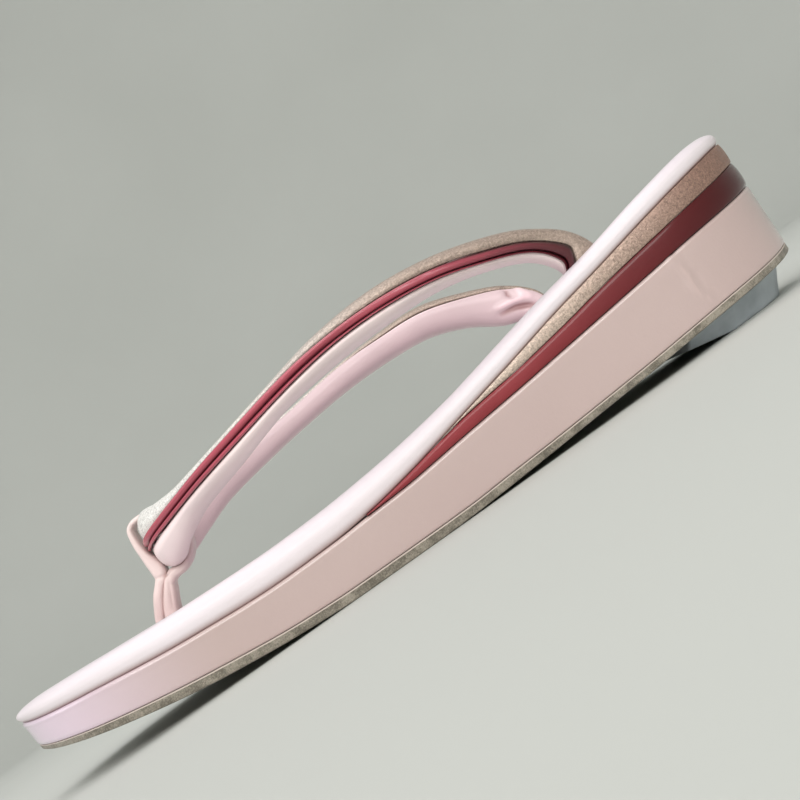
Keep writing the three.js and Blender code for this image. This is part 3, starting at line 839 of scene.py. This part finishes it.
def sweepTree():
    # A path of points with their directions and sizes becomes a strip of a rounded band
    tree = bpy.data.node_groups.new("bandSweep", "GeometryNodeTree")
    inputs = [
        ("Path", "NodeSocketGeometry", None),
        ("Sections", "NodeSocketInt", 200),
        ("Columns", "NodeSocketInt", 60),
        ("Outer Share", "NodeSocketFloat", 1.0),
        ("Roundness", "NodeSocketFloat", 2.5),
        ("Rise", "NodeSocketFloat", 0.0),
        ("Edge Drop", "NodeSocketFloat", 0.0),
        ("Edge Power", "NodeSocketFloat", 4.0),
        ("Thickness", "NodeSocketFloat", 0.0),
        ("Material", "NodeSocketMaterial", None),
    ]
    for name, kind, value in inputs:
        made = tree.interface.new_socket(name, in_out="INPUT", socket_type=kind)
        if value is not None:
            made.default_value = value
    tree.interface.new_socket("Band", in_out="OUTPUT", socket_type="NodeSocketGeometry")
    graph = Graph(tree)
    given = graph.node("NodeGroupInput")
    sections, columns = given.other("Sections"), given.other("Columns")
    around = columns + 1
    grid = graph.node("GeometryNodeMeshGrid", {}, {"Vertices X": sections, "Vertices Y": around})
    index = graph.node("GeometryNodeInputIndex")
    row = ((index + 0.5) / around).math("FLOOR")
    share = (index - row * around).math("MODULO", columns) / columns  # the last column is the first

    def fromPath(attribute, kind):
        settings = {"data_type": kind}
        field = graph.node("GeometryNodeInputNamedAttribute", settings, {"Name": attribute})
        inputs = {"Geometry": given.other("Path"), "Value": field, "Index": row}
        return graph.node("GeometryNodeSampleIndex", {**settings, "domain": "POINT"}, inputs)

    # Out along the outer arc, then back along the inner one
    outerShare = given.other("Outer Share")
    outer = (share / outerShare).math("MINIMUM", 1.0)
    inner = ((share - outerShare) / (1.0001 - outerShare)).math("MAXIMUM", 0.0)
    across = (outer - inner) * 2 - 1  # -1 to 1 from one edge of the strip to the other
    onInner = inner > 0.00001
    start, stop = fromPath("from", "FLOAT"), fromPath("to", "FLOAT")
    degrees = start + (across + 1) * 0.5 * (stop - start)
    angle = degrees * (math.pi / 180)
    power = 2 / given.other("Roundness")
    cosine, sine = angle.math("COSINE"), angle.math("SINE")
    halfWide, halfTall = fromPath("wide", "FLOAT") * 0.5, fromPath("tall", "FLOAT") * 0.5
    x = cosine.math("ABSOLUTE") ** power * cosine.math("SIGN") * halfWide
    y = sine.math("ABSOLUTE") ** power * sine.math("SIGN") * halfTall
    reach = (x * x + y * y).math("SQRT")
    edge = across.math("ABSOLUTE") ** given.other("Edge Power")
    swell = given.other("Rise") - (given.other("Rise") + given.other("Edge Drop")) * edge
    lift = swell * (1 - onInner) - given.other("Thickness") * onInner
    grown = (reach + lift) / reach
    outwards = graph.node("ShaderNodeVectorMath", {"operation": "SCALE"},
                          {0: fromPath("outward", "FLOAT_VECTOR"), "Scale": x * grown})
    upwards = graph.node("ShaderNodeVectorMath", {"operation": "SCALE"},
                         {0: fromPath("upward", "FLOAT_VECTOR"), "Scale": y * grown})
    offset = graph.node("ShaderNodeVectorMath", {}, {0: outwards, 1: upwards})
    place = graph.node("ShaderNodeVectorMath", {},
                       {0: fromPath("centre", "FLOAT_VECTOR"), 1: offset})
    placed = graph.node("GeometryNodeSetPosition", {}, {"Geometry": grid, "Position": place})
    for name, value in (("across", across), ("onInner", onInner), ("degrees", degrees),
                        ("along", fromPath("along", "FLOAT"))):
        settings = {"data_type": "FLOAT", "domain": "POINT"}
        inputs = {"Geometry": placed, "Name": name, "Value": value}
        placed = graph.node("GeometryNodeStoreNamedAttribute", settings, inputs)
    inputs = {"Geometry": placed, "Distance": weld["slivers"]}
    merged = graph.node("GeometryNodeMergeByDistance", {}, inputs)
    real = graph.node("GeometryNodeRealizeInstances", {}, {"Geometry": merged})
    painted = graph.node("GeometryNodeSetMaterial", {},
                         {"Geometry": real, "Material": given.other("Material")})
    graph.node("NodeGroupOutput", {}, {0: painted})
    return tree


bandSweep = sweepTree()


def sweepBand(name, path, material, **sizes):
    mesh = bpy.data.meshes.new(name + "_path")
    mesh.from_pydata((path["centre"] * mm).tolist(), [], [])
    for key in ("centre", "outward", "upward"):
        values = path[key] * (mm if key == "centre" else 1)
        made = mesh.attributes.new(key, "FLOAT_VECTOR", "POINT")
        made.data.foreach_set("vector", values.ravel())
    for key, scale in (("tall", mm), ("wide", mm), ("along", 1), ("from", 1), ("to", 1)):
        made = mesh.attributes.new(key, "FLOAT", "POINT")
        made.data.foreach_set("value", path[key] * scale)
    carrier = bpy.data.objects.new(name + "_carrier", mesh)
    bpy.context.scene.collection.objects.link(carrier)
    modifier = carrier.modifiers.new("sweep", "NODES")
    modifier.node_group = bandSweep
    values = {"Sections": len(path["centre"]), "Material": materials[material], **sizes}
    for item in bandSweep.interface.items_tree:
        if item.in_out == "INPUT" and item.name in values:
            modifier[item.identifier] = values[item.name]
    bpy.context.view_layer.update()
    finished = carrier.evaluated_get(bpy.context.evaluated_depsgraph_get())
    made = bpy.data.objects.new(name, bpy.data.meshes.new_from_object(finished))
    bpy.context.scene.collection.objects.link(made)
    bpy.data.objects.remove(carrier)
    closeMesh(made)
    return made


def curveThrough(points, steps):
    # A centripetal curve through the points, with its direction at each step
    ends = [2 * points[0] - points[1]], [2 * points[-1] - points[-2]]
    rows = np.concatenate([ends[0], points, ends[1]])
    places, directions = [], []
    for i in range(len(points) - 1):
        p0, p1, p2, p3 = rows[i:i + 4]
        d0, d1, d2 = (np.linalg.norm(b - a) ** 0.5 for a, b in ((p0, p1), (p1, p2), (p2, p3)))
        t1 = ((p1 - p0) / d0 - (p2 - p0) / (d0 + d1) + (p2 - p1) / d1) * d1
        t2 = ((p2 - p1) / d1 - (p3 - p1) / (d1 + d2) + (p3 - p2) / d2) * d1
        last = i == len(points) - 2
        s = (np.arange(steps + last) / steps)[:, None]
        bend = -3 * p1 + 3 * p2 - 2 * t1 - t2
        twist = 2 * p1 - 2 * p2 + t1 + t2
        places.append(p1 + t1 * s + bend * s**2 + twist * s**3)
        directions.append(t1 + 2 * bend * s + 3 * twist * s**2)
    along = np.concatenate(directions)
    along /= np.linalg.norm(along, axis=1)[:, None]
    return np.concatenate(places), along


def sizesAlong(rows, columns, steps, count):
    index = {"row": np.arange(len(rows[columns[0]])), **rows}
    places = np.arange(count) / steps
    return {column: smoothAt(index, column, places, "row") for column in columns}


strapSizes = {
    "steps": 16,  # sections between two rows of the tables
    "lean": 0.6,  # the outer side tips upwards, fully from this far off the middle line
    "leanFrom": 12,
    "outerShare": 0.8,  # share of a panel's columns on its outer face
    "roundness": 2.5,
}


def strapPath():
    # Up from the right-hand tail, round the bight and down to the left-hand tail
    steps = strapSizes["steps"]
    rows = {key: np.concatenate([rightStrap[key][::-1], leftStrap[key]]) for key in leftStrap}
    rows["out"][:len(rightStrap["out"])] *= -1
    points = np.stack([length / 2 - rows["fromToe"], rows["out"], rows["up"]], 1)
    centre, along = curveThrough(points, steps)
    lean = strapSizes["lean"] * np.clip(centre[:, 1] / strapSizes["leanFrom"], -1, 1)
    outward = np.stack([along[:, 1], -along[:, 0] + lean, np.zeros(len(along))], 1)
    outward -= along * np.sum(outward * along, axis=1)[:, None]
    outward /= np.linalg.norm(outward, axis=1)[:, None]
    upward = np.cross(outward, along)
    sizes = sizesAlong(rows, ("tall", "wide", "low", "high", "inner"), steps, len(centre))
    travelled = np.linspace(0, 1, len(centre))
    return {"centre": centre, "outward": outward, "upward": upward, "along": travelled, **sizes}


loopSizes = {"steps": 10, "columns": 40, "roundness": 3.2}


def loopPath():
    steps = loopSizes["steps"]
    points = np.stack([length / 2 - loopBand["fromToe"], 0 * loopBand["up"], loopBand["up"]], 1)
    centre, along = curveThrough(points, steps)
    across = np.tile([0.0, 1.0, 0.0], (len(centre), 1))
    outward = np.cross(across, along)
    sizes = sizesAlong(loopBand, ("thick", "wide"), steps, len(centre))
    travelled = np.linspace(0, 1, len(centre))
    return {"centre": centre, "outward": outward, "upward": across, "along": travelled,
            "tall": sizes["wide"], "wide": sizes["thick"],
            "from": np.full(len(centre), -180.0), "to": np.full(len(centre), 180.0)}


# The panels round the strap's section. Each lies between two angles of the path, and a
# share moves an edge part of the way across the red band, as its two cords need.
strapPanels = [
    {"name": "strap_red_cord", "material": "cord", "slot": "red_enamel",
     "span": lambda p: (p["low"] + 0.27 * (p["high"] - p["low"]), p["high"] - 0.5),
     "rise": 0.8, "drop": 0.35, "power": 2.2, "thick": 1.5, "columns": 40},
    {"name": "strap_red_piping", "material": "cord", "slot": "red_enamel",
     "span": lambda p: (p["low"], p["low"] + 0.25 * (p["high"] - p["low"])),
     "rise": 0.6, "drop": 0.45, "power": 2, "thick": 1.5, "columns": 24},
    {"name": "strap_metallic_panel", "material": "strapMetallic", "slot": "metallic_beige",
     "span": lambda p: (p["high"] + 1, p["inner"] - 2),
     "rise": 0.25, "drop": 0.5, "power": 7, "thick": 1.4, "columns": 56},
    {"name": "strap_pink_lining", "material": "lining", "slot": "strap_lining",
     "span": lambda p: (p["inner"] + 2, p["low"] + 357.5),
     "rise": 0.25, "drop": 0.55, "power": 12, "thick": 1.4, "columns": 110},
]

strapFolds = [  # side 1 is the left strap
    {"side": -1, "wide": 1, "depth": -1.2, "ends": 0.4,
     "line": [(170.4, 40), (175.2, 39.3), (178.2, 38), (180.4, 36.6)]},
    {"side": -1, "wide": 1, "depth": 0.7, "ends": 0.2,
     "line": [(168.8, 42.2), (174.4, 41.6), (178.8, 40.2)]},
    {"side": -1, "wide": 0.8, "depth": -0.7, "ends": 0.1,
     "line": [(176.3, 47), (175.2, 44), (175.9, 41.6)]},
    {"side": -1, "wide": 1.3, "depth": 0.7, "ends": 0.1,
     "line": [(178.2, 45.2), (179, 41.8), (181, 38.6)]},
    {"side": 1, "wide": 0.5, "depth": -0.35, "ends": 0,
     "line": [(62.7, 32.8), (64.2, 34.5)]},
    {"side": 1, "wide": 0.8, "depth": -0.4, "ends": 0,
     "line": [(64.6, 35), (67.6, 37), (70.6, 38.6)]},
    {"side": 1, "wide": 0.9, "depth": -0.35, "ends": 0,
     "line": [(67, 36.5), (74.7, 39.1), (82, 41.2)]},
    {"side": 1, "wide": 0.9, "depth": -0.3, "ends": 0,
     "line": [(92.3, 44.3), (98.6, 46.1), (105.4, 47.5)]},
    {"side": 1, "wide": 0.9, "depth": -0.5, "ends": 0.3,
     "line": [(179, 48), (183.2, 45.4), (186.2, 42.6)]},
]


def makeStraps():
    path = strapPath()
    for panel in strapPanels:
        path["from"], path["to"] = panel["span"](path)
        sizes = {"Columns": panel["columns"], "Outer Share": strapSizes["outerShare"],
                 "Roundness": strapSizes["roundness"], "Rise": panel["rise"] * mm,
                 "Edge Drop": panel["drop"] * mm, "Edge Power": float(panel["power"]),
                 "Thickness": panel["thick"] * mm}
        piece = sweepBand(panel["name"], path, panel["material"], **sizes)
        foldPiece(piece, strapFolds)
        dress(piece, panel["material"], panel["slot"], "strap_upper")


loopFolds = [
    {"side": 1, "wide": 0.5, "depth": -0.45, "ends": 0.3,
     "line": [(48.8, 33), (52, 32.1), (54.6, 32.8)]},
    {"side": 1, "wide": 0.5, "depth": -0.5, "ends": 0.3,
     "line": [(52.2, 30.7), (50.3, 26.5), (48.7, 23.1)]},
]


def makeToeLoop():
    sizes = {"Columns": loopSizes["columns"], "Roundness": loopSizes["roundness"]}
    piece = sweepBand("toe_loop_band", loopPath(), "loop", **sizes)
    foldPiece(piece, loopFolds)
    dress(piece, "loop", "toe_loop_leather", "toe_loop")


makeStraps()
makeToeLoop()
print("straps and toe loop made")

# Floor, lights and camera

studio = {
    "flat": 1.3,  # radius of the flat floor, in metres
    "rim": 0.9,  # radius of the turn up into the backdrop
    "turnSteps": 12,
    "wall": 0.8,
    "sides": 96,
    "world": (0.86, 0.88, 0.86),
    "worldStrength": 0.38,
    "aim": (0, 0, 0.03),  # where the lights point
}
lights = [
    {"name": "overhead", "at": (0.15, -0.35, 2.3), "size": (2.1, 1.6), "power": 20.0,
     "colour": (1.0, 0.985, 0.97)},
    {"name": "strip", "at": (0.1, 0.95, 1.9), "size": (2.4, 0.35), "power": 13.0,
     "colour": (1.0, 0.98, 0.97)},
    {"name": "front", "at": (0.05, 1.9, 1.15), "size": (2.8, 0.6), "power": 38.0,
     "colour": (1.0, 0.97, 0.95)},
    {"name": "toe_side", "at": (1.9, 0.5, 0.9), "size": (1.1, 1.1), "power": 6.0,
     "colour": (0.93, 0.94, 1.0)},
]


def makeFloor():
    turn = np.linspace(0, np.pi / 2, studio["turnSteps"] + 1)[1:]
    rim, flat = studio["rim"], studio["flat"]
    section = [(0, 0), (flat / 2, 0), (flat, 0)]
    section += [(flat + rim * math.sin(t), rim * (1 - math.cos(t))) for t in turn]
    section.append((flat + rim, rim + studio["wall"]))
    count = studio["sides"]
    angles = np.arange(count) / count * 2 * np.pi
    verts = [(r * math.cos(a), r * math.sin(a), z) for r, z in section for a in angles]
    faces = [(k * count + j, k * count + (j + 1) % count,
              (k + 1) * count + (j + 1) % count, (k + 1) * count + j)
             for k in range(len(section) - 1) for j in range(count)]
    mesh = bpy.data.meshes.new("floor")
    mesh.from_pydata(verts, [], faces)
    floor = bpy.data.objects.new("floor", mesh)
    bpy.context.scene.collection.objects.link(floor)
    work = bmesh.new()
    work.from_mesh(mesh)
    bmesh.ops.remove_doubles(work, verts=work.verts, dist=0.0001)
    bmesh.ops.recalc_face_normals(work, faces=work.faces)
    work.to_mesh(mesh)
    work.free()
    mesh.shade_smooth()
    mesh.materials.append(materials["floor"])


def makeLights():
    for light in lights:
        data = bpy.data.lights.new(light["name"], "AREA")
        data.shape = "RECTANGLE"
        data.size, data.size_y = light["size"]
        data.energy = light["power"]
        data.color = light["colour"]
        made = bpy.data.objects.new(light["name"], data)
        made.location = light["at"]
        aim = Vector(studio["aim"]) - made.location
        made.rotation_euler = aim.to_track_quat("-Z", "Y").to_euler()
        bpy.context.scene.collection.objects.link(made)
    world = bpy.data.worlds.new("studio")
    bpy.context.scene.world = world
    world.use_nodes = True
    background = world.node_tree.nodes["Background"]
    background.inputs["Color"].default_value = (*studio["world"], 1)
    background.inputs["Strength"].default_value = studio["worldStrength"]


shot = {
    "along": 0.001,
    "distance": 0.3001,  # from the middle plane of the shoe, in metres
    "eyeHeight": 0.0175,
    "yaw": 2.09,  # degrees towards the heel
    "pitch": 3.355,
    "roll": 34.9,  # the photo's tilt of the shoe
    "angle": 39.94,
    "nearest": 0.01,
}


def makeCamera():
    yaw, pitch = math.radians(shot["yaw"]), math.radians(shot["pitch"])
    forward = Vector((-math.sin(yaw) * math.cos(pitch), -math.cos(yaw) * math.cos(pitch),
                      math.sin(pitch)))
    data = bpy.data.cameras.new("camera")
    data.angle = math.radians(shot["angle"])
    data.clip_start = shot["nearest"]
    camera = bpy.data.objects.new("camera", data)
    camera.location = (shot["along"], shot["distance"], shot["eyeHeight"])
    camera.rotation_mode = "QUATERNION"
    level = forward.to_track_quat("-Z", "Y")
    camera.rotation_quaternion = level @ Quaternion((0, 0, 1), -math.radians(shot["roll"]))
    bpy.context.scene.collection.objects.link(camera)
    bpy.context.scene.camera = camera


makeFloor()
makeLights()
makeCamera()
bpy.context.scene.view_settings.view_transform = "Standard"
print("studio made")
